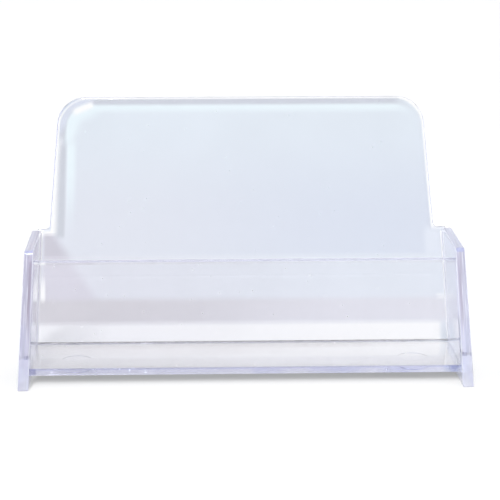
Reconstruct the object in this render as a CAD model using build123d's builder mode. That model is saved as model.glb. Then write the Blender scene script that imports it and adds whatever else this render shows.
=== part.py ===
"""Clear plastic desk stand for business cards: five moulded panels bonded along seated seams.

Millimetres. The stand faces -Y, +X is the viewer's right, +Z is up and z = 0 is the desk.
The origin is the middle of the stand's footprint box, on the desk.
"""

from build123d import *
import math
import os

os.makedirs("parts", exist_ok=True)

# The card that the pocket is made for, and its play at each side
card_width = 88.9
card_side_play = 1.6

# Side panels: two splayed cheeks that carry everything and stand on their lower edges
side_height = 29.1
side_rim_thickness = 2.1
side_foot_thickness = 2.5
side_splay = 3.1
side_front_corner = 1.2
side_rear_corner = 5.0
side_foot_corner = 0.25
side_edge_round = 0.3
side_cove_radius = 0.6
side_cove_root = 0.3

# Front panel
front_lean = 16.5
front_setback = 0.6
front_thickness = 1.7
front_top = 26.8
front_lip_bevel = 0.7
front_foot_round = 0.35

# Floor panel
floor_top = 4.0
floor_thickness = 1.0
pocket_depth = 20.2
cove_height = 0.35
cove_land = 0.1
cove_radius = 0.45
pin_mark_diameter = 6.5
pin_mark_depth = 0.06
pin_mark_side = 37.2
pin_mark_from_front = 7.0

# Back panel
back_lean = 18.0
back_thickness = 2.4
back_top = 58.0
back_shoulder_width = 88.4
back_top_width = 84.0
back_corner_radius = 6.5
back_shoulder_radius = 1.0
back_edge_round = 0.5
back_bevel_width = 1.4
back_bevel_depth = 0.75
rear_lip = 2.0

# Seams: how far the panel ends sink into the cheeks, and the cement line all round them
seat_depth = 0.9
bond_gap = 0.05

# Slopes of the leaning and splayed faces
front_slope = math.tan(math.radians(front_lean))
back_slope = math.tan(math.radians(back_lean))
splay_slope = math.tan(math.radians(side_splay))

# Half widths of a cheek's faces, at its top edge and at the desk
rim_inner = card_width / 2 + card_side_play
rim_outer = rim_inner + side_rim_thickness
foot_outer = rim_outer + side_height * splay_slope
foot_inner = foot_outer - side_foot_thickness
inner_slope = (foot_inner - rim_inner) / side_height

# Depths along Y, measured back from the foremost edge of the feet
floor_underside = floor_top - floor_thickness
front_run = front_thickness / math.cos(math.radians(front_lean))
back_run = back_thickness / math.cos(math.radians(back_lean))
pocket_front = front_setback + front_run + floor_top * front_slope
back_foot_depth = pocket_front + pocket_depth - floor_top * back_slope

# The back panel's rounded front edge sets the stand's height, its bevelled rear edge the depth
back_sine = math.sin(math.radians(back_lean))
back_cosine = math.cos(math.radians(back_lean))
back_length = (back_top - back_edge_round + back_edge_round * back_sine) / back_cosine + back_edge_round
shoulder_length = side_height / back_cosine
overall_depth = back_foot_depth + (back_length - back_bevel_width) * back_sine + back_thickness * back_cosine
front_y = -overall_depth / 2

# Spans that reach past the stand on every side, for trimming
wide = 2 * foot_outer
deep = 2 * overall_depth
tall = 2 * back_top


def front_face(z: float) -> float:
    """Depth of the front panel's outer face at a height."""
    return front_y + front_setback + z * front_slope


def pocket_front_face(z: float) -> float:
    """Depth of the front panel's inner face at a height."""
    return front_face(z) + front_run


def pocket_back_face(z: float) -> float:
    """Depth of the back panel's front face at a height."""
    return front_y + back_foot_depth + z * back_slope


def rear_face(z: float) -> float:
    """Depth of the back panel's rear face at a height."""
    return pocket_back_face(z) + back_run


def inner_half(z: float) -> float:
    """Half width between the cheeks' inner faces at a height."""
    return foot_inner - z * inner_slope


def span_outline(reach: float, bottom: float, top: float) -> list:
    """Front view of the space between the cheeks, widened by reach at each side."""
    low = inner_half(bottom) + reach
    high = inner_half(top) + reach
    return [(-low, bottom), (low, bottom), (high, top), (-high, top)]


# Space that the panel ends fill inside the cheeks: a channel along the front, floor and back
channel_top = side_height + back_thickness
with BuildPart() as panel_channel:
    with BuildSketch(Plane.YZ) as channel_profile:
        Polygon(
            (front_face(floor_underside), floor_underside),
            (pocket_front_face(floor_underside), floor_underside),
            (pocket_front_face(front_top), front_top),
            (front_face(front_top), front_top),
            align=None,
        )
        Polygon(
            (pocket_front_face(floor_underside) - front_run / 2, floor_underside),
            (pocket_back_face(floor_underside) + back_run / 2, floor_underside),
            (pocket_back_face(floor_top) + back_run / 2, floor_top),
            (pocket_front_face(floor_top) - front_run / 2, floor_top),
            align=None,
        )
        Polygon(
            (pocket_back_face(floor_underside), floor_underside),
            (rear_face(floor_underside), floor_underside),
            (rear_face(channel_top), channel_top),
            (pocket_back_face(channel_top), channel_top),
            align=None,
        )
        offset(amount=bond_gap, kind=Kind.INTERSECTION)
    extrude(amount=wide, both=True)
    with BuildSketch(Plane.XZ) as channel_reach:
        Polygon(*span_outline(seat_depth, 0, tall), align=None)
    extrude(amount=deep, both=True, mode=Mode.INTERSECT)

# Line where the right cheek's inner face meets the back panel, from the floor's cove to the rim
cove_top = floor_top + cove_height
corner_foot_z = cove_top + bond_gap
corner_head_z = side_height - side_edge_round - side_cove_radius
corner_foot = Vector(inner_half(corner_foot_z), pocket_back_face(corner_foot_z), corner_foot_z)
corner_head = Vector(inner_half(corner_head_z), pocket_back_face(corner_head_z), corner_head_z)
corner_plane = Plane(origin=corner_foot, x_dir=(-1, 0, 0), z_dir=corner_head - corner_foot)

# Right side panel: a splayed cheek, thinner at the rim, with the channel sunk in its inner face
# and a small cove along the back panel
with BuildPart() as right_side_panel:
    with BuildSketch(Plane.XZ) as side_section:
        Polygon(
            (foot_inner, 0),
            (foot_outer, 0),
            (rim_outer, side_height),
            (rim_inner, side_height),
            align=None,
        )
    extrude(amount=deep, both=True)
    with BuildSketch(Plane.YZ) as side_outline:
        with BuildLine():
            Polyline(
                (front_y, 0),
                (front_y + side_height * front_slope, side_height),
                (rear_face(side_height) + rear_lip, side_height),
                (rear_face(0) + rear_lip, 0),
                close=True,
            )
        make_face()
        fillet(side_outline.vertices().group_by(Axis.Y)[0], side_foot_corner)
        fillet(side_outline.vertices().group_by(Axis.Y)[-1].sort_by(Axis.X)[-1], side_rear_corner)
        fillet(side_outline.vertices().group_by(Axis.Y)[-1].sort_by(Axis.X)[0], side_front_corner)
    extrude(amount=wide, both=True, mode=Mode.INTERSECT)
    cheek_faces = right_side_panel.faces().sort_by(Axis.X)
    fillet(cheek_faces[0].edges() + cheek_faces[-1].edges(), side_edge_round)
    with BuildSketch(corner_plane) as cove_section:
        with BuildLine():
            TangentArc((side_cove_radius, 0), (0, side_cove_radius), tangent=(-1, 0))
            Polyline(
                (0, side_cove_radius),
                (-side_cove_root, side_cove_radius),
                (-side_cove_root, 0),
                (side_cove_radius, 0),
            )
        make_face()
    extrude(amount=(corner_head - corner_foot).length)
    add(panel_channel.part, mode=Mode.SUBTRACT)
right_side_panel.part.label = "right_side_panel"
export_step(right_side_panel.part, "parts/right_side_panel.step")

# Left side panel: the same cheek for the other hand
with BuildPart() as left_side_panel:
    mirror(right_side_panel.part, about=Plane.YZ)
left_side_panel.part.label = "left_side_panel"
export_step(left_side_panel.part, "parts/left_side_panel.step")

# Ends of the front, floor and back panels, sunk into the cheeks short of the channel's bottom
panel_reach = seat_depth - bond_gap

# Front panel: leans back with the cheeks' front edges, with a bevelled lip along its top
with BuildPart() as front_panel:
    with BuildSketch(Plane.YZ) as front_profile:
        with BuildLine():
            Polyline(
                (front_face(floor_underside), floor_underside),
                (pocket_front_face(floor_underside), floor_underside),
                (pocket_front_face(front_top), front_top),
                (front_face(front_top), front_top),
                close=True,
            )
        make_face()
        chamfer(front_profile.vertices().group_by(Axis.Y)[-1], front_lip_bevel)
        fillet(front_profile.vertices().group_by(Axis.Y)[0].sort_by(Axis.X)[0], front_foot_round)
    extrude(amount=wide, both=True)
    with BuildSketch(Plane.XZ) as front_span:
        Polygon(*span_outline(panel_reach, floor_underside, tall), align=None)
    extrude(amount=deep, both=True, mode=Mode.INTERSECT)
front_panel.part.label = "front_panel"
export_step(front_panel.part, "parts/front_panel.step")

# Floor panel: fills the pocket's bottom, and turns up along its rear edge in a small cove
with BuildPart() as floor_panel:
    with BuildSketch(Plane.YZ) as floor_profile:
        with BuildLine():
            Polyline(
                (pocket_front_face(floor_underside) + bond_gap, floor_underside),
                (pocket_back_face(floor_underside) - bond_gap, floor_underside),
                (pocket_back_face(cove_top) - bond_gap, cove_top),
                (pocket_back_face(cove_top) - bond_gap - cove_land, cove_top),
                (pocket_back_face(floor_top) - bond_gap - cove_land, floor_top),
                (pocket_front_face(floor_top) + bond_gap, floor_top),
                close=True,
            )
        make_face()
        fillet(floor_profile.vertices().group_by(Axis.Y)[1].sort_by(Axis.X)[-1], cove_radius)
    extrude(amount=wide, both=True)
    with BuildSketch(Plane.XZ) as floor_span:
        Polygon(*span_outline(panel_reach, floor_underside, floor_top), align=None)
        Polygon(*span_outline(-bond_gap, floor_top, cove_top), align=None)
    extrude(amount=deep, both=True, mode=Mode.INTERSECT)
    with BuildSketch(Plane.XY.offset(floor_top)) as pin_marks:
        mark_y = pocket_front_face(floor_top) + pin_mark_from_front
        with Locations((-pin_mark_side, mark_y), (pin_mark_side, mark_y)):
            Circle(pin_mark_diameter / 2)
    extrude(amount=-pin_mark_depth, mode=Mode.SUBTRACT)
floor_panel.part.label = "floor_panel"
export_step(floor_panel.part, "parts/floor_panel.step")

# Back panel: a tapered card rest with shoulders on the cheeks' top edges, bevelled behind
back_plane = Plane(
    origin=(0, pocket_back_face(0), 0),
    x_dir=(1, 0, 0),
    z_dir=(0, -back_cosine, back_sine),
)
with BuildPart() as back_panel:
    with BuildSketch(back_plane) as back_outline:
        with BuildLine():
            Polyline(
                (-wide, -back_thickness),
                (wide, -back_thickness),
                (wide, shoulder_length),
                (back_shoulder_width / 2, shoulder_length),
                (back_top_width / 2, back_length),
                (-back_top_width / 2, back_length),
                (-back_shoulder_width / 2, shoulder_length),
                (-wide, shoulder_length),
                close=True,
            )
        make_face()
        fillet(back_outline.vertices().group_by(Axis.Y)[1].sort_by(Axis.X)[1:-1], back_shoulder_radius)
        fillet(back_outline.vertices().group_by(Axis.Y)[-1], back_corner_radius)
    extrude(amount=-back_thickness)
    back_faces = back_panel.faces().filter_by(Axis(back_plane.origin, back_plane.z_dir)).sort_by(Axis.Y)
    chamfer(back_faces[-1].edges(), back_bevel_width, back_bevel_depth, reference=back_faces[-1])
    fillet(back_faces[0].edges(), back_edge_round)
    with BuildSketch(Plane.XZ) as back_span:
        Polygon(*span_outline(panel_reach, floor_underside, tall), align=None)
    extrude(amount=deep, both=True, mode=Mode.INTERSECT)
back_panel.part.label = "back_panel"
export_step(back_panel.part, "parts/back_panel.step")
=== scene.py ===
"""Clear plastic business card stand on a white desk, dressed for rendering and export."""

import logging
import math
from dataclasses import dataclass, replace
from enum import Enum

import bpy
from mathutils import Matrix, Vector


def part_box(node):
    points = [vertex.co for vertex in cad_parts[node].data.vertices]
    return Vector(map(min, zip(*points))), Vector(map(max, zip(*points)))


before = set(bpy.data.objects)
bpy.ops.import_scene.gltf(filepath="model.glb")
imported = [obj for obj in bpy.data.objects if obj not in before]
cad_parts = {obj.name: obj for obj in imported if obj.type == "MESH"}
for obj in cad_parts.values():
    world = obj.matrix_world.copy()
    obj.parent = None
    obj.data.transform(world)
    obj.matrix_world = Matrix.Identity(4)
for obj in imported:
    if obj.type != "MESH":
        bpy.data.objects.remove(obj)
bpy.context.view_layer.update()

log = logging.getLogger("card_stand")

Colour = tuple[float, float, float]
Point = tuple[float, float, float]
Ends = tuple[float, ...]
Socket = bpy.types.NodeSocket

RIGHT: Point = (1.0, 0.0, 0.0)
LEFT: Point = (-1.0, 0.0, 0.0)
BACK: Point = (0.0, 1.0, 0.0)
AHEAD: Point = (0.0, -1.0, 0.0)
UP: Point = (0.0, 0.0, 1.0)
DOWN: Point = (0.0, 0.0, -1.0)
WHITE: Colour = (1.0, 1.0, 1.0)
LIGHT_BOUNCES = 32


class Panel(Enum):
    """The stand's panels, by the name of their node."""

    LEFT_SIDE = "left_side_panel"
    RIGHT_SIDE = "right_side_panel"
    FRONT = "front_panel"
    FLOOR = "floor_panel"
    BACK = "back_panel"


def grey(level: float) -> Colour:
    """Gives the grey of one level."""
    return (level, level, level)


def looking(lean: float) -> Point:
    """Gives the direction that a panel looks which leans back by this many degrees."""
    turn = math.radians(lean)
    return (0.0, -math.cos(turn), math.sin(turn))


class Sheet:
    """A node tree with short calls to add and join nodes."""

    # The Mix node's sockets share their names between its data types, so they go by their place
    SHARE_IN = 0
    NUMBERS_IN = (2, 3)
    COLOURS_IN = (6, 7)
    NUMBER_OUT = 0
    COLOUR_OUT = 2

    def __init__(self, tree: bpy.types.NodeTree) -> None:
        """Empties the tree of a material or a world."""
        self.tree = tree
        tree.nodes.clear()

    def add(self, kind: str, links: dict | None = None, **settings: object) -> bpy.types.Node:
        """Adds one node.

        Args:
            kind: Node type without its ShaderNode prefix.
            links: Input name or index to the socket that feeds it, or to a plain value.
            **settings: Properties of the node itself.

        Returns:
            The new node.
        """
        node = self.tree.nodes.new("ShaderNode" + kind)
        for name, value in settings.items():
            setattr(node, name, value)
        for name, value in (links or {}).items():
            if isinstance(value, Socket):
                self.tree.links.new(value, node.inputs[name])
            else:
                node.inputs[name].default_value = value
        return node

    def remap(self, value: Socket, low: float, high: float, start: float, end: float) -> Socket:
        """Maps a value smoothly from the span of low to high onto the span of start to end."""
        spans = {"Value": value, "From Min": low, "From Max": high, "To Min": start, "To Max": end}
        return self.add("MapRange", spans, interpolation_type="SMOOTHSTEP").outputs["Result"]

    def maths(self, operation: str, first: Socket | float, second: Socket | float = 0.0) -> Socket:
        """Joins two values by one operation of the Math node."""
        return self.add("Math", {0: first, 1: second}, operation=operation).outputs["Value"]

    def along(self, vector: Socket, axis: Point) -> Socket:
        """Measures how far a vector reaches along an axis."""
        return self.add("VectorMath", {0: vector, 1: axis}, operation="DOT_PRODUCT").outputs["Value"]

    def noise(self, place: Socket, scale: float, detail: float) -> Socket:
        """Adds a noise pattern of this scale and detail, and gives its level."""
        return self.add("TexNoise", {"Vector": place, "Scale": scale, "Detail": detail}).outputs["Fac"]

    def tone(self, share: Socket, first: Socket | Colour, second: Socket | Colour) -> Socket:
        """Mixes two colours.

        Args:
            share: How much of the second colour.
            first: Socket or colour.
            second: Socket or colour.

        Returns:
            The mixed colour.
        """
        sides = [value if isinstance(value, Socket) else (*value, 1.0) for value in (first, second)]
        links = {self.SHARE_IN: share, **dict(zip(self.COLOURS_IN, sides))}
        return self.add("Mix", links, data_type="RGBA").outputs[self.COLOUR_OUT]

    def blend(self, share: Socket, first: Socket | float, second: Socket | float) -> Socket:
        """Mixes two numbers, with share of the second."""
        links = {self.SHARE_IN: share, **dict(zip(self.NUMBERS_IN, (first, second)))}
        return self.add("Mix", links).outputs[self.NUMBER_OUT]

    def looked_at(self) -> Socket:
        """Tells light that shows a thing from light that the thing sheds on others.

        Returns:
            1 for camera, glossy and transmission rays, and 0 for the rest.
        """
        path = self.add("LightPath").outputs
        straight = self.maths("MAXIMUM", path["Is Camera Ray"], path["Is Glossy Ray"])
        return self.maths("MAXIMUM", straight, path["Is Transmission Ray"])


class PanelSheet(Sheet):
    """A panel's node tree, with the panel's Object coordinates as its place."""

    def __init__(self, tree: bpy.types.NodeTree, outline: "Outline | None") -> None:
        """Empties the tree and adds the coordinates.

        Args:
            tree: The material's tree.
            outline: Outline that strips on the panel follow, or None.
        """
        super().__init__(tree)
        self.outline = outline
        self.place = self.add("TexCoord").outputs["Object"]

    def reach(self, axis: Point) -> Socket:
        """Measures how far along an axis each place on the panel lies."""
        return self.along(self.place, axis)


@dataclass(frozen=True)
class Zone:
    """A part of a panel that begins softly at one place along an axis, and may end at another.

    Attributes:
        axis: Direction to measure along.
        start: Distance along it where the zone begins.
        whole: Distance along it from which the zone is whole.
        fading: Distance along it where the zone begins to end, or None if it doesn't.
        gone: Distance along it where the zone has ended.
    """

    axis: Point
    start: float
    whole: float
    fading: float | None = None
    gone: float = 0.0

    def mask(self, sheet: PanelSheet) -> Socket:
        """Marks the zone.

        Args:
            sheet: The panel's tree.

        Returns:
            1 in the zone and 0 in the rest of the panel.
        """
        reach = sheet.reach(self.axis)
        begun = sheet.remap(reach, self.start, self.whole, 0.0, 1.0)
        if self.fading is None:
            return begun
        return sheet.maths("MULTIPLY", begun, sheet.remap(reach, self.fading, self.gone, 1.0, 0.0))


def stretch(axis: Point, origin: float, ends: Ends) -> Zone:
    """Makes a zone whose ends are measured from an origin on its axis."""
    return Zone(axis, *(origin + end for end in ends))


def overlap(sheet: PanelSheet, zones: tuple[Zone, ...], share: Socket | float = 1.0) -> Socket | float:
    """Narrows a mask to the part of a panel that lies in every zone.

    Args:
        sheet: The panel's tree.
        zones: The zones.
        share: The mask to narrow.

    Returns:
        The narrowed mask.
    """
    for zone in zones:
        share = sheet.maths("MULTIPLY", share, zone.mask(sheet))
    return share


@dataclass(frozen=True)
class Specks:
    """Specks or streaks that a tone breaks up in.

    Attributes:
        count: Specks for each metre.
        depth: How far the tone is gone between them.
        level: Noise level in the middle of a speck's border, so that a higher one makes fewer specks.
        across: Direction across the streaks, or None for round specks.
        drawn: How much shorter than its length a streak is wide.
        border: Half the span of noise levels that a speck's border takes up.
        detail: How much finer noise the specks have.
    """

    count: float
    depth: float = 1.0
    level: float = 0.5
    across: Point | None = None
    drawn: float = 0.04
    border: float = 0.1
    detail: float = 2.0

    def mask(self, sheet: PanelSheet) -> Socket:
        """Marks the specks.

        Args:
            sheet: The panel's tree.

        Returns:
            1 in the specks, and less between them.
        """
        place = sheet.place
        if self.across:
            rise = sheet.maths("MULTIPLY", sheet.reach(UP), self.drawn)
            place = sheet.add("CombineXYZ", {"X": sheet.reach(self.across), "Y": rise}).outputs["Vector"]
        noise = sheet.noise(place, self.count, self.detail)
        return sheet.remap(noise, self.level - self.border, self.level + self.border, 1.0 - self.depth, 1.0)


@dataclass(frozen=True)
class EdgeKind:
    """How a panel's narrow faces are told from its broad faces, and what they do with light.

    Attributes:
        milk: Share of light that they scatter instead of passing it on.
        full: A face that looks along the panel's facing no more than this is all edge.
        none: A face that looks along it at least this much is no edge.
        cast: Share of light that each of their surfaces lets through to the desk.
    """

    milk: float = 0.0
    full: float = 0.90
    none: float = 0.97
    cast: float = 0.9


@dataclass(frozen=True)
class EdgeTone:
    """Tone of a panel's narrow faces.

    Attributes:
        tint: Colour of the edges.
        kind: How they are told from the broad faces, and what they do with light.
        zones: Edges have this tone where these overlap, or everywhere if there are none.
        specks: What the tone breaks up in, or None.
    """

    tint: Colour
    kind: EdgeKind = EdgeKind()
    zones: tuple[Zone, ...] = ()
    specks: Specks | None = None

    def mask(self, sheet: PanelSheet, facing: Point) -> Socket:
        """Marks the edges.

        Args:
            sheet: The panel's tree.
            facing: Direction that the panel's broad faces look.

        Returns:
            1 on the edges and 0 on the broad faces.
        """
        turned = sheet.along(sheet.add("NewGeometry").outputs["Normal"], facing)
        edge = sheet.remap(sheet.maths("ABSOLUTE", turned), self.kind.full, self.kind.none, 1.0, 0.0)
        if self.specks:
            edge = sheet.maths("MULTIPLY", edge, self.specks.mask(sheet))
        return overlap(sheet, self.zones, edge)


@dataclass(frozen=True)
class Outline:
    """Outline of a leaning panel that tapers to a top edge with round corners.

    Attributes:
        foot: Depth where the panel's front face would meet the desk.
        up: Direction up along the panel.
        length: From that line to the panel's top edge.
        half_top: Half width at the top edge.
        taper: How much the half width grows for each unit down the panel.
        corner: Radius of the top corners.
    """

    foot: float
    up: Point
    length: float
    half_top: float
    taper: float
    corner: float

    def inset(self, sheet: PanelSheet, left: float, right: float) -> Socket:
        """Measures how far in from the outline each place lies.

        Args:
            sheet: The panel's tree.
            left: What the distance is divided by at the left edge, where the top edge has 1.
            right: The same at the right edge.

        Returns:
            The distance.
        """
        across = sheet.reach(RIGHT)
        climb = sheet.maths("SUBTRACT", sheet.reach(self.up), self.foot * self.up[1])
        from_top = sheet.maths("SUBTRACT", self.length, climb)
        half = sheet.maths("ADD", sheet.maths("MULTIPLY", from_top, self.taper), self.half_top)
        from_side = sheet.maths("SUBTRACT", half, sheet.maths("ABSOLUTE", across))
        near_top = sheet.maths("MAXIMUM", sheet.maths("SUBTRACT", self.corner, from_top), 0.0)
        near_side = sheet.maths("MAXIMUM", sheet.maths("SUBTRACT", self.corner, from_side), 0.0)
        squares = [sheet.maths("POWER", near, 2.0) for near in (near_top, near_side)]
        inset = sheet.maths("SUBTRACT", self.corner, sheet.maths("SQRT", sheet.maths("ADD", *squares)))
        bend = self.half_top - self.corner
        wider_left = sheet.remap(across, -bend, -self.half_top, 1.0, left)
        wider_right = sheet.remap(across, bend, self.half_top, 1.0, right)
        return sheet.maths("DIVIDE", inset, sheet.maths("MULTIPLY", wider_left, wider_right))


class Layer:
    """Something that changes a panel's tint over a part of it."""

    def colour(self, sheet: PanelSheet) -> Socket | Colour:
        """Gives the layer's tint."""
        return self.tint

    def share(self, sheet: PanelSheet) -> Socket | float:
        """Marks the part of the panel that the layer covers."""
        return overlap(sheet, self.zones)

    def over(self, sheet: PanelSheet, face: Socket | Colour) -> Socket:
        """Lays the layer over the panel's tint."""
        return sheet.tone(self.share(sheet), face, self.colour(sheet))


@dataclass(frozen=True)
class Wash(Layer):
    """A soft patch of another tint on a panel.

    Attributes:
        tint: Colour that one pass through the patch takes on.
        zones: The patch lies where these overlap.
    """

    tint: Colour
    zones: tuple[Zone, ...]


@dataclass(frozen=True)
class Margin(Layer):
    """A strip of another tint along a panel's outline.

    Attributes:
        tint: Colour that one pass through the strip takes on.
        start: Distance in from the top edge up to which the strip is whole.
        end: Distance in from the top edge where it has faded out.
        left: How many times as wide it is along the left edge.
        right: How many times as wide it is along the right edge.
        zones: The strip shows where these overlap.
    """

    tint: Colour
    start: float
    end: float
    left: float = 1.0
    right: float = 1.0
    zones: tuple[Zone, ...] = ()

    def share(self, sheet: PanelSheet) -> Socket:
        """Marks the strip."""
        inset = sheet.outline.inset(sheet, self.left, self.right)
        return overlap(sheet, self.zones, sheet.remap(inset, self.start, self.end, 1.0, 0.0))


@dataclass(frozen=True)
class ShadingBand(Layer):
    """A level band across a panel in another tint, used for painted light and shade.

    Attributes:
        left: Tint at the viewer's left.
        right: Tint at the viewer's right.
        bottom: Height where the band begins.
        top: Height where it ends.
        fade: How soft its two borders are.
        turn: Half the width over which the tint goes from left to right.
        zones: The band shows where these overlap.
    """

    left: Colour
    right: Colour
    bottom: float
    top: float
    fade: float = 0.0004
    turn: float = 0.035
    zones: tuple[Zone, ...] = ()

    def colour(self, sheet: PanelSheet) -> Socket:
        """Gives the tint, which turns from left to right."""
        side = sheet.remap(sheet.reach(RIGHT), -self.turn, self.turn, 0.0, 1.0)
        return sheet.tone(side, self.left, self.right)

    def share(self, sheet: PanelSheet) -> Socket:
        """Marks the band.

        Args:
            sheet: The panel's tree.

        Returns:
            1 in the band and 0 in the rest of the panel.
        """
        height = sheet.reach(UP)
        above = sheet.remap(height, self.bottom - self.fade, self.bottom + self.fade, 0.0, 1.0)
        below = sheet.remap(height, self.top - self.fade, self.top + self.fade, 1.0, 0.0)
        return overlap(sheet, self.zones, sheet.maths("MULTIPLY", above, below))


@dataclass(frozen=True)
class Shade:
    """A part of a panel that lets less light through to the desk.

    Attributes:
        zone: The part.
        cast: Share of light that each of its surfaces lets through.
    """

    zone: Zone
    cast: float


@dataclass(frozen=True)
class Seam:
    """A part of a panel where cement has left a stronger ripple.

    Attributes:
        zone: The part.
        ripple: Height of the ripple.
        scale: Ripples for each metre.
        detail: How much finer ripple it has.
        drawn: How it is drawn out along the seam.
    """

    zone: Zone
    ripple: float
    scale: float = 700.0
    detail: float = 2.0
    drawn: Point = (0.14, 1.0, 1.0)

    def bump(self, sheet: PanelSheet, normal: Socket) -> Socket:
        """Bumps the seam.

        Args:
            sheet: The panel's tree.
            normal: Normal of the panel without the seam.

        Returns:
            The bumped normal.
        """
        drawn = sheet.add("Mapping", {"Vector": sheet.place, "Scale": self.drawn}).outputs["Vector"]
        run = sheet.noise(drawn, self.scale, self.detail)
        glue = sheet.maths("MULTIPLY", run, self.zone.mask(sheet))
        links = {"Height": glue, "Strength": 1.0, "Distance": self.ripple, "Normal": normal}
        return sheet.add("Bump", links).outputs["Normal"]


@dataclass(frozen=True)
class Grain:
    """A noise pattern that shows between two of its levels.

    Attributes:
        scale: Grains for each metre.
        detail: How much finer noise they have.
        low: Noise level up to which nothing shows.
        high: Noise level from which the pattern is whole.
        whole: What the whole pattern gives.
    """

    scale: float
    detail: float
    low: float
    high: float
    whole: float

    def level(self, sheet: PanelSheet, place: Socket) -> Socket:
        """Gives what the pattern gives at each place."""
        noise = sheet.noise(place, self.scale, self.detail)
        return sheet.remap(noise, self.low, self.high, 0.0, self.whole)


@dataclass(frozen=True)
class Wear:
    """Soft clouds in the tint, and haze, dust and fine scratches that roughen the surface.

    Attributes:
        clear: Share of the clear plastic between the clouds.
        cloud_dim: Share of the tint that a cloud leaves.
        haze: Roughness of patches of haze.
        scratch: Roughness of scratches.
        scratch_turn: How the scratches are turned, in radians.
        scratch_drawn: How they are drawn out.
        dust_scale: Specks of dust for each metre.
        dust_span: Where a speck's border ends and begins, measured from its middle.
        dust_rough: Roughness of a speck.
    """

    clear: Grain = Grain(scale=40.0, detail=2.0, low=0.3, high=0.7, whole=1.0)
    cloud_dim: float = 0.97
    haze: Grain = Grain(scale=90.0, detail=4.0, low=0.35, high=0.75, whole=0.03)
    scratch: Grain = Grain(scale=1500.0, detail=0.0, low=0.80, high=0.86, whole=0.2)
    scratch_turn: Point = (0.3, 0.9, 0.2)
    scratch_drawn: Point = (1.0, 1.0, 0.06)
    dust_scale: float = 260.0
    dust_span: Ends = (0.055, 0.035)
    dust_rough: float = 0.35

    def cloud(self, sheet: PanelSheet, tint: Colour) -> Socket:
        """Clouds a tint."""
        clouded = tuple(self.cloud_dim * part for part in tint)
        return sheet.tone(self.clear.level(sheet, sheet.place), clouded, tint)

    def roughness(self, sheet: PanelSheet) -> Socket:
        """Makes the roughness from haze in patches, specks of dust and fine scratches.

        Args:
            sheet: The panel's tree.

        Returns:
            The roughness.
        """
        haze = self.haze.level(sheet, sheet.place)
        cells = {"Vector": sheet.place, "Scale": self.dust_scale}
        cell = sheet.add("TexVoronoi", cells).outputs["Distance"]
        dust = sheet.remap(cell, *self.dust_span, 0.0, self.dust_rough)
        turned = {"Vector": sheet.place, "Rotation": self.scratch_turn, "Scale": self.scratch_drawn}
        scratch = self.scratch.level(sheet, sheet.add("Mapping", turned).outputs["Vector"])
        return sheet.maths("ADD", haze, sheet.maths("MAXIMUM", dust, scratch))


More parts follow.
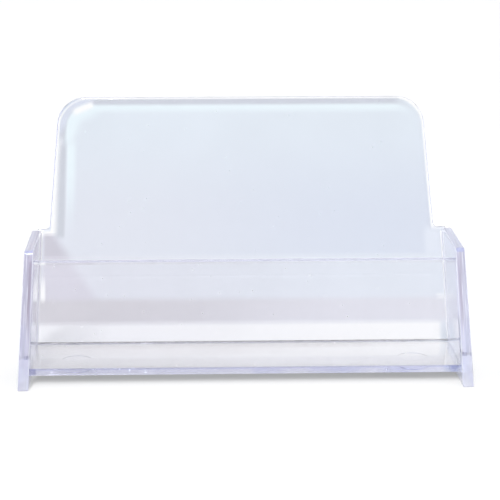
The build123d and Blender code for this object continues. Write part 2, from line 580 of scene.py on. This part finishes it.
@dataclass(frozen=True)
class ClearPlastic:
    """Polished clear plastic with a faint tint, some wear and mould ripple.

    Attributes:
        name: Material name.
        facing: Direction that the panel's broad faces look.
        tint: Colour that one pass through a panel takes on.
        depth_density: Strength of the colour of long paths, per metre.
        cast: Share of light that each surface lets through to the desk.
        edges: Tones of the panel's narrow faces, in the order they are laid.
        layers: Strips, patches and bands that change the tint, in the order they are laid.
        outline: Outline that the strips follow, or None.
        shade: The part of the panel that lets less light through, or None.
        seam: The part of the panel where cement has left a stronger ripple, or None.
        ripple: Height of the mould ripple.
        ripple_scale: Ripples for each metre.
        ripple_detail: How much finer ripple it has.
        wear: Clouds, haze, dust and scratches.
        depth_tint: Colour that long paths through the plastic turn to.
        ior: Index of refraction.
    """

    name: str
    facing: Point
    tint: Colour
    depth_density: float
    cast: float
    edges: tuple[EdgeTone, ...] = ()
    layers: tuple[Layer, ...] = ()
    outline: Outline | None = None
    shade: Shade | None = None
    seam: Seam | None = None
    ripple: float = 0.0000012
    ripple_scale: float = 160.0
    ripple_detail: float = 1.0
    wear: Wear = Wear()
    depth_tint: Colour = (0.36, 0.40, 0.86)
    ior: float = 1.5

    def material(self) -> bpy.types.Material:
        """Builds the node material.

        Returns:
            The finished material.
        """
        mat = bpy.data.materials.new(self.name)
        mat.use_nodes = True
        sheet = PanelSheet(mat.node_tree, self.outline)
        masks = [edge.mask(sheet, self.facing) for edge in self.edges]
        shader = sheet.add("BsdfPrincipled", {
            "Base Color": self.colour(sheet, masks),
            "Roughness": self.wear.roughness(sheet),
            "Normal": self.relief(sheet),
            "IOR": self.ior,
            "Transmission Weight": self.clearness(sheet, masks),
        })

        # Light passes on to the desk, a little dimmer at each surface
        path = sheet.add("LightPath").outputs
        lit = sheet.maths("MAXIMUM", path["Is Shadow Ray"], path["Is Diffuse Ray"])
        through = sheet.add("BsdfTransparent", {"Color": self.passing(sheet, masks)})
        surface = sheet.add("MixShader", {0: lit, 1: shader.outputs["BSDF"], 2: through.outputs["BSDF"]})

        colouring = {"Color": (*self.depth_tint, 1.0), "Density": self.depth_density}
        depth = sheet.add("VolumeAbsorption", colouring).outputs["Volume"]
        sheet.add("OutputMaterial", {"Surface": surface.outputs["Shader"], "Volume": depth})
        return mat

    def colour(self, sheet: PanelSheet, masks: list[Socket]) -> Socket:
        """Colours the faces with soft clouds, the strips and bands, and the edges' tones, much of which is
        painted light and shade.

        Args:
            sheet: The panel's tree.
            masks: Mask of each edge tone.

        Returns:
            The colour.
        """
        face = self.wear.cloud(sheet, self.tint)
        for layer in self.layers:
            face = layer.over(sheet, face)
        for edge, mask in zip(self.edges, masks):
            face = sheet.tone(mask, face, edge.tint)
        return face

    def clearness(self, sheet: PanelSheet, masks: list[Socket]) -> Socket | float:
        """Works out how much light passes through instead of being scattered.

        Args:
            sheet: The panel's tree.
            masks: Mask of each edge tone.

        Returns:
            The share that passes through.
        """
        share: Socket | float = 1.0
        for edge, mask in zip(self.edges, masks):
            share = sheet.blend(mask, share, 1.0 - edge.kind.milk)
        return share

    def relief(self, sheet: PanelSheet) -> Socket:
        """Bumps the faces with a long soft ripple, and with a stronger one along a cemented seam.

        Args:
            sheet: The panel's tree.

        Returns:
            The bumped normal.
        """
        wave = sheet.noise(sheet.place, self.ripple_scale, self.ripple_detail)
        links = {"Height": wave, "Strength": 1.0, "Distance": self.ripple}
        smooth = sheet.add("Bump", links).outputs["Normal"]
        return self.seam.bump(sheet, smooth) if self.seam else smooth

    def passing(self, sheet: PanelSheet, masks: list[Socket]) -> Socket | tuple[float, ...]:
        """Works out how much light a surface lets through to the desk.

        Args:
            sheet: The panel's tree.
            masks: Mask of each edge tone.

        Returns:
            The share of light.
        """
        share: Socket | Colour = grey(self.cast)
        if self.shade:
            share = sheet.tone(self.shade.zone.mask(sheet), share, grey(self.shade.cast))
        for edge, mask in zip(self.edges, masks):
            share = sheet.tone(mask, share, grey(edge.kind.cast))
        return share if isinstance(share, Socket) else (*share, 1.0)


def dress(panel: Panel, finish: bpy.types.Material) -> None:
    """Gives one panel from the frame its finish.

    Args:
        panel: Which panel.
        finish: Its material.
    """
    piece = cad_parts[panel.value]
    piece.data.materials.clear()
    piece.data.materials.append(finish)
    log.info("dressed %s", panel.value)


@dataclass(frozen=True)
class CheekTone:
    """Tones of one cheek. The two cheeks' tones differ as painted light and shade.

    Attributes:
        face: Colour of one pass through the cheek.
        rim: Colour of the rim.
        lining: Colour of the rim's inner half, a painted lighter tone that lifts its shade.
        core: Colour of the painted dim line along the rim's middle, which stands in for the rim's rear edge
            seen through it.
        crest: Colour of the rim's level top.
        foot: Colour of the foot.
        crest_start: Depth from which the level top has this colour.
    """

    face: Colour
    rim: Colour
    lining: Colour
    core: Colour
    crest: Colour
    foot: Colour
    crest_start: float


@dataclass
class SideCheeks:
    """The two splayed side panels that carry the others and stand on the desk.

    Attributes:
        height: Height of the rims.
        inner_foot: Half the width between the cheeks' inner faces, at the desk.
        inner_rim: The same at the rims.
        foot_height: How high the tone of the feet's edges reaches.
        base_height: How high the tone of the feet's faces reaches.
        depth_density: Strength of the colour along the cheeks, per metre.
        ripple: Height of the mould ripple.
        left: Tones of the left cheek, which differ from the right cheek's as painted light and shade.
        right: Tones of the right cheek.
        highlight_streak_tint: Colour of the painted highlight streaks along the rims.
        bar_tint: Colour of the bars where the rims bend.
        painted_glint_tint: Colour of the painted highlights on the rounded edges beside the rims.
        mark_tint: Colour of the marks where the feet begin.
        cove_highlight_tint: Colour of the cove along the back panel, whitened as a painted highlight.
        face_cast: Share of light that the faces let through to the desk.
        painted_glint: Kind of edge that these rounded edges are.
        rim: Kind of edge that the rims are.
        foot: Kind of edge that the feet's edges are.
        base: Kind of edge that the feet's faces are, which takes in every face.
        cove: Kind of edge that the cove is, milky so that its painted highlight shows.
        wall_ends: The cheek, measured outwards from its inner face.
        half_ends: The rim's inner half, in the same way.
        middle_ends: The rim's dim line, in the same way.
        inside_ends: The cove, measured inwards from the inner face.
        inner_ends: The feet's faces, in the same way.
        crest_ends: The rim's level top, measured up from its height.
        behind_ends: Its colour, measured back from the depth given with it.
        foot_ends: The feet's tones, measured down from where they begin.
        step_ends: The marks, measured down from the top of the feet.
        ahead: The front part of the feet's faces.
        corner: Heights of the bars where the rims bend.
        foremost: Depths of these bars.
        over: Heights of the rims' dim lines.
        core_specks: Streaks that the dim lines break up in.
        highlight_streak_specks: The painted highlight streaks.
        foot_specks: Blots in the tone of the feet's edges.
        mark_specks: Dashes that the marks break up in.
    """

    height: float = 0.0291
    inner_foot: float = 0.04723
    inner_rim: float = 0.04605
    foot_height: float = 0.0066
    base_height: float = 0.0030
    depth_density: float = 7.5
    ripple: float = 0.0000003
    # The cheeks are the same plastic; their two sets of tones differ as painted light and shade
    left: CheekTone = CheekTone(
        face=(0.96, 0.96, 1.0), rim=(0.56, 0.55, 0.65), lining=(0.71, 0.70, 0.82), core=(0.50, 0.46, 0.55),
        crest=(0.46, 0.46, 0.60), foot=(0.64, 0.65, 0.81), crest_start=-0.005,
    )
    right: CheekTone = CheekTone(
        face=(0.87, 0.90, 0.99), rim=(0.66, 0.67, 0.77), lining=(0.83, 0.84, 0.97), core=(0.58, 0.55, 0.64),
        crest=(0.53, 0.56, 0.71), foot=(0.73, 0.75, 0.90), crest_start=-0.015,
    )
    highlight_streak_tint: Colour = (0.95, 0.96, 1.0)
    bar_tint: Colour = (0.50, 0.53, 0.77)
    painted_glint_tint: Colour = (0.94, 0.95, 1.0)
    mark_tint: Colour = (0.22, 0.22, 0.34)
    cove_highlight_tint: Colour = WHITE
    face_cast: float = 0.85
    painted_glint: EdgeKind = EdgeKind(milk=0.45, full=0.88, none=0.96)
    rim: EdgeKind = EdgeKind(milk=0.35, full=0.15, none=0.5, cast=0.85)
    foot: EdgeKind = EdgeKind(milk=0.5, full=0.15, none=0.5, cast=0.8)
    base: EdgeKind = EdgeKind(milk=0.6, full=1.5, none=2.0, cast=0.8)
    cove: EdgeKind = EdgeKind(milk=0.5)
    wall_ends: Ends = (-0.0002, 0.0)
    half_ends: Ends = (-0.0002, 0.0, 0.0009, 0.0013)
    middle_ends: Ends = (0.0002, 0.0005, 0.0011, 0.0014)
    inside_ends: Ends = (0.0, 0.0001)
    inner_ends: Ends = (-0.0006, -0.0003)
    crest_ends: Ends = (-0.0007, -0.0003)
    behind_ends: Ends = (0.0, 0.005)
    foot_ends: Ends = (-0.0004, 0.0)
    step_ends: Ends = (-0.0008, -0.0007, 0.0, 0.0001)
    ahead: Zone = Zone(AHEAD, start=0.004, whole=0.012)
    corner: Zone = Zone(UP, start=0.0283, whole=0.0285)
    foremost: Zone = Zone(AHEAD, start=0.0112, whole=0.0122)
    over: Zone = Zone(UP, start=0.0095, whole=0.0155)
    core_specks: Specks = Specks(count=900.0, depth=0.6)
    highlight_streak_specks: Specks = Specks(count=2600.0, level=0.62)
    foot_specks: Specks = Specks(count=250.0, depth=0.3)
    mark_specks: Specks = Specks(count=4000.0, level=0.53)

    def build(self) -> None:
        """Dresses both cheeks."""
        for panel, side, tone in ((Panel.LEFT_SIDE, -1.0, self.left), (Panel.RIGHT_SIDE, 1.0, self.right)):
            dress(panel, ClearPlastic(
                "clear_" + panel.value, RIGHT, tone.face, self.depth_density, self.face_cast,
                self.edges(side, tone), ripple=self.ripple,
            ).material())

    def edges(self, side: float, tone: CheekTone) -> tuple[EdgeTone, ...]:
        """Lists the tones of one cheek's edges.

        Args:
            side: -1 for the left cheek and 1 for the right one.
            tone: The cheek's colours.

        Returns:
            The tones, from the lowest.
        """
        slope = (self.inner_foot - self.inner_rim) / self.height
        outward = (side, 0.0, slope)
        inward = (-side, 0.0, -slope)
        wall = stretch(outward, self.inner_foot, self.wall_ends)
        half = stretch(outward, self.inner_foot, self.half_ends)
        middle = stretch(outward, self.inner_foot, self.middle_ends)
        inside = stretch(inward, -self.inner_foot, self.inside_ends)
        inner = stretch(inward, -self.inner_foot, self.inner_ends)
        crest = stretch(UP, self.height, self.crest_ends)
        behind = stretch(BACK, tone.crest_start, self.behind_ends)
        toe = stretch(DOWN, -self.foot_height, self.foot_ends)
        sole = stretch(DOWN, -self.base_height, self.foot_ends)
        step = stretch(DOWN, -self.foot_height, self.step_ends)
        # The first pattern breaks up the painted dim line, the second makes the painted highlight streaks
        dim, clear, dark = (
            replace(specks, across=outward)
            for specks in (self.core_specks, self.highlight_streak_specks, self.mark_specks)
        )
        return (
            # Painted highlights on the rounded edges beside the rims
            EdgeTone(self.painted_glint_tint, self.painted_glint, (wall,)),
            EdgeTone(tone.rim, self.rim, (wall,)),
            # Painted light: the rim's inner half is lifted out of its shade
            EdgeTone(tone.lining, self.rim, (half,)),
            # Painted dim line along the rim's middle, for the rim's rear edge seen through it
            EdgeTone(tone.core, self.rim, (middle, self.over), dim),
            EdgeTone(tone.crest, self.rim, (wall, crest, behind)),
            # Painted highlight streaks along the rims
            EdgeTone(self.highlight_streak_tint, self.rim, (wall,), clear),
            EdgeTone(self.bar_tint, self.rim, (wall, self.corner, self.foremost)),
            EdgeTone(tone.foot, self.base, (sole, inner, self.ahead)),
            EdgeTone(tone.foot, self.foot, (toe,), self.foot_specks),
            EdgeTone(self.mark_tint, self.foot, (step,), dark),
            # Painted highlight: the cove beside the back panel is whitened into a bright line
            EdgeTone(self.cove_highlight_tint, self.cove, (inside,)),
        )


@dataclass
class CardPocket:
    """The front panel and the floor panel between the cheeks.

    Attributes:
        lean: How far the front panel leans back, in degrees.
        floor_top: Height of the floor panel's upper face.
        lip_top: Height of the front panel's lip.
        tint: Colour of one pass through either panel.
        depth_density: Strength of the colour along the panels, per metre.
        front_cast: Share of light that the front panel lets through to the desk.
        floor_cast: Share of light that the floor panel lets through.
        lip_tint: Colour of the lip.
        lip: Kind of edge that it is.
        lip_ends: The lip, measured up from its height.
        shade: The part of the front panel that lets less light through.
        foot_ends: The front panel's cemented foot, measured down from the floor's upper face.
        foot_ripple: Height of the ripple there.
        end_tint: Colour of the floor's front edge, along its top.
        end_ends: That part of the edge, measured up from the floor's upper face.
        ahead: The front part of the floor.
        blot_specks: Blots of that colour on the front edge.
        seam_tint: Colour of the cement line in the cove along the floor's rear edge.
        seam: Kind of edge that this line is.
        seam_ends: The cove, measured up from the floor's upper face.
        seam_specks: Blots that the line breaks up in.
        rear: Painted shade: a dimmer patch on the floor's rear part, at the left.
        bead: Bead of cement along the floor's rear edge.
    """

    lean: float = 16.5
    floor_top: float = 0.004
    lip_top: float = 0.0268
    tint: Colour = (0.985, 0.985, 0.995)
    depth_density: float = 8.0
    front_cast: float = 0.985
    floor_cast: float = 0.96
    lip_tint: Colour = (0.62, 0.63, 0.76)
    lip: EdgeKind = EdgeKind(milk=0.3)
    lip_ends: Ends = (-0.0003, -0.0002)
    shade: Shade = Shade(Zone(UP, start=0.005, whole=0.009, fading=0.013, gone=0.016), cast=0.25)
    foot_ends: Ends = (-0.0004, 0.0)
    foot_ripple: float = 0.00001
    end_tint: Colour = (0.55, 0.58, 0.86)
    end_ends: Ends = (-0.0004, -0.0003, 0.0, 0.0001)
    ahead: Zone = Zone(AHEAD, start=0.0, whole=0.005)
    blot_specks: Specks = Specks(count=75.0, depth=0.6, level=0.58)
    seam_tint: Colour = (0.36, 0.36, 0.37)
    seam: EdgeKind = EdgeKind(milk=0.6)
    seam_ends: Ends = (0.0, 0.0001)
    seam_specks: Specks = Specks(count=500.0, depth=0.35)
    # Painted shade on the floor's rear part, darker towards the left
    rear: Wash = Wash((0.885, 0.87, 0.88), (
        Zone(BACK, start=-0.0110, whole=-0.0030),
        Zone(LEFT, start=-0.030, whole=0.010),
    ))
    bead: Wash = Wash((0.82, 0.805, 0.81), (
        Zone(BACK, start=-0.0028, whole=-0.0012),
        Zone(LEFT, start=-0.045, whole=-0.015),
    ))

    def build(self) -> None:
        """Dresses the front panel and the floor panel."""
        self.dress_front()
        self.dress_floor()

    def dress_front(self) -> None:
        """Dresses the front panel, with its lip and its cemented foot."""
        foot = stretch(DOWN, -self.floor_top, self.foot_ends)
        lip = EdgeTone(self.lip_tint, self.lip, (stretch(UP, self.lip_top, self.lip_ends),))
        dress(Panel.FRONT, ClearPlastic(
            "clear_front", looking(self.lean), self.tint, self.depth_density, self.front_cast,
            (lip,), shade=self.shade, seam=Seam(foot, self.foot_ripple),
        ).material())

    def dress_floor(self) -> None:
        """Dresses the floor panel, with its front edge and the cement along its rear edge."""
        end = stretch(UP, self.floor_top, self.end_ends)
        cove = stretch(UP, self.floor_top, self.seam_ends)
        edges = (
            EdgeTone(self.end_tint, zones=(self.ahead,), specks=self.blot_specks),
            EdgeTone(self.end_tint, zones=(end, self.ahead)),
            EdgeTone(self.seam_tint, self.seam, (cove,), self.seam_specks),
        )
        dress(Panel.FLOOR, ClearPlastic(
            "clear_floor", UP, self.tint, self.depth_density, self.floor_cast,
            edges, (self.rear, self.bead),
        ).material())


@dataclass(frozen=True)
class RestTones:
    """Bands, patches and strips that change the back panel's tint, most of them painted light and shade.

    Attributes:
        shadow_slant: The side of the slanting edge of the painted shadow that the left cheek casts on the
            panel.
        inward: Where that painted shadow begins beside the cheek.
        low_dim_band: Band that is darker towards the bottom and fades out upwards.
        pane: Band behind the front panel.
        right_lit_patch: Painted light: a clearer patch by the right cheek.
        cheek_shadow_above_lip: The painted shadow of the left cheek, above the front panel's lip.
        haze: The same painted shadow, below the lip.
        dim: Painted shadow: a dim band above the bottom band, darker at the left.
        white: Painted light: a clear band at the bottom.
        light_band_shaded_end: Painted shade on the bottom band's left end.
        left_highlight: Painted highlight by the left cheek.
        right_highlight: Painted highlight by the right cheek.
        outward: Direction to the top left corner.
        leftward: How far to the right the painted shade along the bevel shows.
        upper: The part where strips follow the outline.
        lower: The part below that, where they are patches.
        above: The part above the shoulders.
        glow_tint: Colour of the painted light strips inside the bevel.
        bevel_shade_tint: Colour of the painted shade along the bevel round the rear face.
        corner_glow: The painted light strip in the top left corner.
        edge_glow: The painted light strip along the edges.
        bevel: Painted shade along the bevel on the edges.
        bend: Painted shade along the bevel in the top left corner.
        low_glow: The painted light strip along the lower part of the left edge.
        shoulder_highlight: Painted highlight by the left shoulder.
        low_bevel_shade: Painted shade along the bevel on the lower part of the left edge.
        corner_highlight: Painted highlight in the top left corner.
        edge_highlight: Painted highlight along the rounded front edge.
        rim: Thin line where that edge turns away, along the left.
    """

    # Painted shadow of the left cheek on the panel, bounded by a slanting edge and by the cheek
    shadow_slant: Zone = Zone((-0.8275, 0.0, -0.5618), start=0.0190, whole=0.0218)
    inward: Zone = Zone(RIGHT, start=-0.0462, whole=-0.0450)
    # Darker towards the bottom, fading out upwards
    low_dim_band: ShadingBand = ShadingBand((0.75, 0.775, 0.85), (0.705, 0.75, 0.85), bottom=0.0, top=0.042, fade=0.014)
    pane: ShadingBand = ShadingBand((0.775, 0.79, 0.86), (0.79, 0.83, 0.90), bottom=0.0, top=0.0226)
    # Painted light: a clearer patch by the right cheek
    right_lit_patch: Wash = Wash((0.775, 0.815, 0.90), (
        Zone(RIGHT, start=0.0414, whole=0.0432),
        Zone(UP, start=0.0222, whole=0.0234, fading=0.0276, gone=0.0300),
    ))
    # Painted shadow of the left cheek, above the front panel's lip
    cheek_shadow_above_lip: Wash = Wash((0.62, 0.605, 0.68), (shadow_slant, inward, Zone(UP, start=0.0222, whole=0.0226)))
    # Painted shadow of the left cheek, below the front panel's lip
    haze: Wash = Wash((0.715, 0.70, 0.78), (shadow_slant, inward, Zone(DOWN, start=-0.0226, whole=-0.0222)))
    # Painted shadow: a dim band across the lower panel, darker at the left
    dim: ShadingBand = ShadingBand(
        (0.678, 0.66, 0.705), (0.785, 0.785, 0.85), bottom=0.0079, top=0.0132, fade=0.0006,
    )
    # Painted light: a clear band at the bottom, brightest at the right
    white: ShadingBand = ShadingBand(
        (0.94, 0.94, 0.97), WHITE, bottom=0.0, top=0.0079,
        zones=(Zone(LEFT, start=-0.0460, whole=-0.0448),),
    )
    # Painted shade on the left end of the bottom band
    light_band_shaded_end: ShadingBand = ShadingBand(
        (0.84, 0.84, 0.875), (0.84, 0.84, 0.875), bottom=0.0, top=0.0079,
        zones=(Zone(LEFT, start=0.0290, whole=0.0385, fading=0.0400, gone=0.0440),),
    )
    # Painted highlight by the left cheek
    left_highlight: Wash = Wash(WHITE, (
        Zone(RIGHT, start=-0.0465, whole=-0.0461, fading=-0.0455, gone=-0.0450),
        Zone(UP, start=0.0125, whole=0.0134, fading=0.0150, gone=0.0195),
    ))
    # Painted highlight by the right cheek
    right_highlight: Wash = Wash(WHITE, (
        Zone(RIGHT, start=0.0444, whole=0.0450),
        Zone(UP, start=0.0130, whole=0.0133, fading=0.0135, gone=0.0138),
    ))
    outward: Point = (-0.707, 0.0, 0.707)
    leftward: Zone = Zone(LEFT, start=-0.0405, whole=-0.0345)
    upper: Zone = Zone(UP, start=0.0460, whole=0.0500)
    lower: Zone = Zone(DOWN, start=-0.0500, whole=-0.0460)
    above: Zone = Zone(UP, start=0.0281, whole=0.0291)
    # Painted light: tint of the clearer strips inside the bevel
    glow_tint: Colour = (0.845, 0.935, 0.98)
    # Painted shade along the bevel, strongest at the left
    bevel_shade_tint: Colour = (0.625, 0.65, 0.715)
    # Painted light: clearer strip in the top left corner
    corner_glow: Margin = Margin(
        glow_tint, start=0.0035, end=0.0070, zones=(Zone(outward, start=0.0605, whole=0.0640), upper),
    )
    # Painted light: clearer strip along the edges
    edge_glow: Margin = Margin(glow_tint, start=0.0023, end=0.0042, left=1.25, zones=(leftward, upper))
    # Painted shade along the bevel on the edges
    bevel: Margin = Margin(bevel_shade_tint, start=0.0013, end=0.0021, left=1.25, zones=(leftward, upper))
    # Painted shade along the bevel in the top left corner
    bend: Margin = Margin(
        (0.715, 0.755, 0.855), start=0.0013, end=0.0021, left=1.25,
        zones=(Zone(outward, start=0.0638, whole=0.0658), upper),
    )
    # Painted light: clearer strip along the lower left edge
    low_glow: Wash = Wash(glow_tint, (
        Zone((1.0, 0.0, -0.023), start=-0.0418, whole=-0.0408, fading=-0.0402, gone=-0.0386),
        lower,
        Zone(UP, start=0.0245, whole=0.0460),
    ))
    # Painted highlight by the left shoulder
    shoulder_highlight: Wash = Wash(WHITE, (
        Zone((-1.0, 0.0, 0.023), start=0.0420, whole=0.0426),
        lower,
        Zone(UP, start=0.0273, whole=0.0278),
    ))
    # Painted shade along the bevel on the lower left edge
    low_bevel_shade: Wash = Wash(bevel_shade_tint, (
        Zone((1.0, 0.0, -0.045), start=-0.0450, whole=-0.0433),
        Zone((-1.0, 0.0, 0.023), start=0.0411, whole=0.0420),
        lower,
        Zone(UP, start=0.0264, whole=0.0274),
    ))
    # Painted highlight in the top left corner
    corner_highlight: Wash = Wash(WHITE, (
        Zone((0.93, 0.0, 0.37), start=-0.0166, whole=-0.0150, fading=-0.0118, gone=-0.0104),
        Zone((-0.37, 0.0, 0.93), start=0.0640, whole=0.0646, fading=0.0654, gone=0.0660),
    ))
    # Painted highlight along the rounded front edge
    edge_highlight: Margin = Margin(WHITE, start=0.00035, end=0.00055, left=1.33, right=1.2, zones=(above,))
    rim: Margin = Margin(
        (0.62, 0.68, 0.80), start=0.00016, end=0.00030, zones=(Zone(LEFT, start=0.030, whole=0.036), above),
    )

    def layers(self) -> tuple[Layer, ...]:
        """Lists the bands, patches and strips.

        Returns:
            What changes the tint, from the lowest.
        """
        return (
            self.low_dim_band, self.pane, self.right_lit_patch, self.cheek_shadow_above_lip, self.haze,
            self.dim, self.white, self.light_band_shaded_end, self.left_highlight, self.right_highlight,
            self.corner_glow, self.edge_glow, self.bevel, self.bend,
            self.low_glow, self.shoulder_highlight, self.low_bevel_shade, self.corner_highlight, self.edge_highlight, self.rim,
        )


@dataclass
class CardRest:
    """The tall back panel that the cards lean on.

    Attributes:
        lean: How far it leans back, in degrees.
        top_width: Width along its top edge.
        shoulder_width: Width at the cheeks' rims.
        shoulder_height: Height of the rims.
        corner: Radius of its top corners.
        edge_round: Radius of its front edges.
        tint: Colour of one pass through the panel.
        depth_density: Strength of the colour along the panel, per metre.
        cast: Share of light that it lets through to the desk.
        tones: What changes the tint, most of it painted light and shade.
    """

    lean: float = 18.0
    top_width: float = 0.084
    shoulder_width: float = 0.0884
    shoulder_height: float = 0.0291
    corner: float = 0.0065
    edge_round: float = 0.0005
    tint: Colour = (0.785, 0.846, 0.915)
    depth_density: float = 7.0
    cast: float = 0.99
    tones: RestTones = RestTones()

    def build(self) -> None:
        """Dresses the back panel."""
        dress(Panel.BACK, ClearPlastic(
            "clear_back", looking(self.lean), self.tint, self.depth_density, self.cast,
            layers=self.tones.layers(), outline=self.outline(),
        ).material())

    def outline(self) -> Outline:
        """Works out the panel's outline from its sizes and its box in the frame.

        Returns:
            The outline.
        """
        sine = math.sin(math.radians(self.lean))
        cosine = math.cos(math.radians(self.lean))
        low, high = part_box(Panel.BACK.value)
        foot = low[1] - low[2] * sine / cosine
        length = (high[2] - self.edge_round * (1.0 - sine)) / cosine + self.edge_round
        taper = (self.shoulder_width - self.top_width) / 2 / (length - self.shoulder_height / cosine)
        return Outline(foot, (0.0, sine, cosine), length, self.top_width / 2, taper, self.corner)


@dataclass
class Studio:
    """White desk, soft lamps, plain room and the camera.

    Attributes:
        azimuth: Camera direction round the stand, in degrees, negative to the viewer's left.
        elevation: Camera height above the horizon, in degrees.
        distance: From the camera to the point it looks at, in metres.
        lens: Focal length, in millimetres on a 36 mm sensor.
        nearest: Distance from which the camera sees things, in metres.
        aim: Point in the middle of the picture.
        desk_size: Side of the desk.
        desk_albedo: Share of light that the desk gives back.
        desk_glow: What is added to the desk where it is seen, so that it shows white.
        room_front: Level of the room in front of the stand, where 1 is white.
        room_behind: Level of the room behind it.
        room_turn: How far to the front and to the back the room's level changes.
        room_fill: Share of that level with which the room lights the desk.
        room_tint: Colour of the room.
        key_strength: Strength of the key lamp.
        key_spread: How large the key lamp looks from the desk, in degrees.
        key_direction: Direction that the key lamp shines.
        box_level: How bright the two side lamps' faces are, where 1 is white.
        box_size: Their width and height.
        box_place: Middle of the right one. The left one mirrors it.
        box_back: Direction that the right one's back looks, away from the stand.
    """

    azimuth: float = -1.877
    elevation: float = 12.888
    distance: float = 0.4233
    lens: float = 135.86
    nearest: float = 0.01
    aim: Point = (0.00141, -0.00169, 0.02651)
    desk_size: float = 6.0
    desk_albedo: float = 0.8
    desk_glow: float = 0.06
    room_front: float = 0.70
    room_behind: float = 1.0
    room_turn: Ends = (-0.5, 0.6)
    room_fill: float = 0.62
    room_tint: Colour = (0.97, 0.98, 1.0)
    key_strength: float = 2.45
    key_spread: float = 8.0
    key_direction: Point = (0.12, 0.60, -1.0)
    box_level: float = 6.0
    box_size: tuple[float, float] = (0.05, 0.6)
    box_place: Point = (0.55, -0.25, 0.30)
    box_back: Point = (1.0, -0.45, 0.4)

    def build(self) -> None:
        """Makes the desk, the lamps, the room and the camera."""
        self.make_desk()
        self.make_room()
        self.make_lamps()
        self.make_camera()

    def make_desk(self) -> None:
        """Lays the white desk under the stand."""
        bpy.ops.object.select_all(action="DESELECT")
        bpy.ops.mesh.primitive_plane_add(size=self.desk_size, location=(0.0, 0.0, 0.0))
        desk = bpy.context.object
        desk.name = "desk"
        mat = bpy.data.materials.new("white_desk")
        mat.use_nodes = True
        sheet = Sheet(mat.node_tree)
        paper = sheet.add("BsdfDiffuse", {"Color": (*grey(self.desk_albedo), 1.0)})
        shown = sheet.maths("MULTIPLY", sheet.looked_at(), self.desk_glow)
        glow = sheet.add("Emission", {"Strength": shown})
        both = sheet.add("AddShader", {0: paper.outputs["BSDF"], 1: glow.outputs["Emission"]})
        sheet.add("OutputMaterial", {"Surface": both.outputs["Shader"]})
        desk.data.materials.append(mat)

    def make_room(self) -> None:
        """Sets the plain room, brighter behind the stand than in front of it."""
        world = bpy.data.worlds.new("room")
        bpy.context.scene.world = world
        world.use_nodes = True
        sheet = Sheet(world.node_tree)
        way = sheet.along(sheet.add("TexCoord").outputs["Generated"], BACK)
        level = sheet.remap(way, *self.room_turn, self.room_front, self.room_behind)
        fill = sheet.remap(sheet.looked_at(), 0.0, 1.0, self.room_fill, 1.0)
        shown = sheet.maths("MULTIPLY", level, fill)
        back = sheet.add("Background", {"Color": (*self.room_tint, 1.0), "Strength": shown})
        sheet.add("OutputWorld", {"Surface": back.outputs["Background"]})

    def make_lamps(self) -> None:
        """Hangs the key lamp, and a tall soft lamp at each side."""
        data = bpy.data.lights.new("key", "SUN")
        data.energy = self.key_strength
        data.angle = math.radians(self.key_spread)
        key = bpy.data.objects.new("key", data)
        key.rotation_euler = Vector(self.key_direction).to_track_quat("-Z", "Y").to_euler()
        bpy.context.scene.collection.objects.link(key)
        for name, side in (("left_box", -1.0), ("right_box", 1.0)):
            self.soft_lamp(name, Vector((side, 1.0, 1.0)))

    def soft_lamp(self, name: str, mirror: Vector) -> None:
        """Adds one flat soft lamp.

        Args:
            name: Lamp name.
            mirror: What the right lamp's place and direction are multiplied by.
        """
        width, height = self.box_size
        data = bpy.data.lights.new(name, "AREA")
        data.shape = "RECTANGLE"
        data.size = width
        data.size_y = height
        data.energy = self.box_level * math.pi * width * height
        lamp = bpy.data.objects.new(name, data)
        lamp.location = Vector(self.box_place) * mirror
        lamp.rotation_euler = (Vector(self.box_back) * mirror).to_track_quat("Z", "Y").to_euler()
        lamp.visible_camera = False
        bpy.context.scene.collection.objects.link(lamp)

    def make_camera(self) -> None:
        """Sets the camera where the photograph was taken from."""
        data = bpy.data.cameras.new("camera")
        data.lens = self.lens
        data.clip_start = self.nearest
        camera = bpy.data.objects.new("camera", data)
        turn = math.radians(self.azimuth)
        rise = math.radians(self.elevation)
        back = Vector((math.sin(turn) * math.cos(rise), -math.cos(turn) * math.cos(rise), math.sin(rise)))
        camera.location = Vector(self.aim) + back * self.distance
        camera.rotation_euler = back.to_track_quat("Z", "Y").to_euler()
        bpy.context.scene.collection.objects.link(camera)
        bpy.context.scene.camera = camera


def main() -> None:
    """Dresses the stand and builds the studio."""
    logging.basicConfig(level=logging.INFO)
    scene = bpy.context.scene
    scene.view_settings.view_transform = "Standard"
    scene.cycles.max_bounces = LIGHT_BOUNCES
    scene.cycles.transmission_bounces = LIGHT_BOUNCES
    scene.cycles.glossy_bounces = LIGHT_BOUNCES
    scene.cycles.transparent_max_bounces = LIGHT_BOUNCES
    for assembly in (SideCheeks(), CardPocket(), CardRest(), Studio()):
        assembly.build()


if __name__ == "__main__":
    main()
